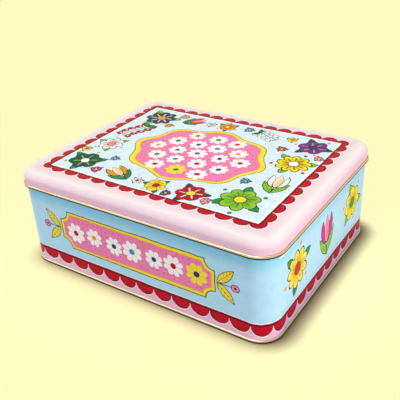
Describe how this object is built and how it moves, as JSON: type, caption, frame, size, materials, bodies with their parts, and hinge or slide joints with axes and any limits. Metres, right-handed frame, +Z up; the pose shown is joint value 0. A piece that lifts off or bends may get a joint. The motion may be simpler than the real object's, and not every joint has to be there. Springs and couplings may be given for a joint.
{
  "type": "lunch tin",
  "caption": "Rectangular metal lunch tin with rounded corners, a lift-off lid with a rolled rim, and a seamed foot.",
  "frame": {"origin": "bottom centre of the closed tin, on the surface that it stands on", "axes": "+Z up, +X along the long side, -Y out of the printed front; the lock seam is on the +Y side"},
  "size_m": [0.202, 0.16, 0.072],
  "materials": {
    "lid_print": "gloss varnish over print",
    "wall_print": "gloss varnish over print",
    "bare_tinplate": "bright tinplate"
  },
  "bodies": {
    "tin": {"body_wall": "wall_print", "base_plate": "bare_tinplate"},
    "lid": {"lid": "lid_print"}
  },
  "joints": [
    {"name": "lid_lift", "type": "slide", "parent": "tin", "child": "lid", "axis": [0, 0, 1], "range_m": [0, 0.08]}
  ]
}
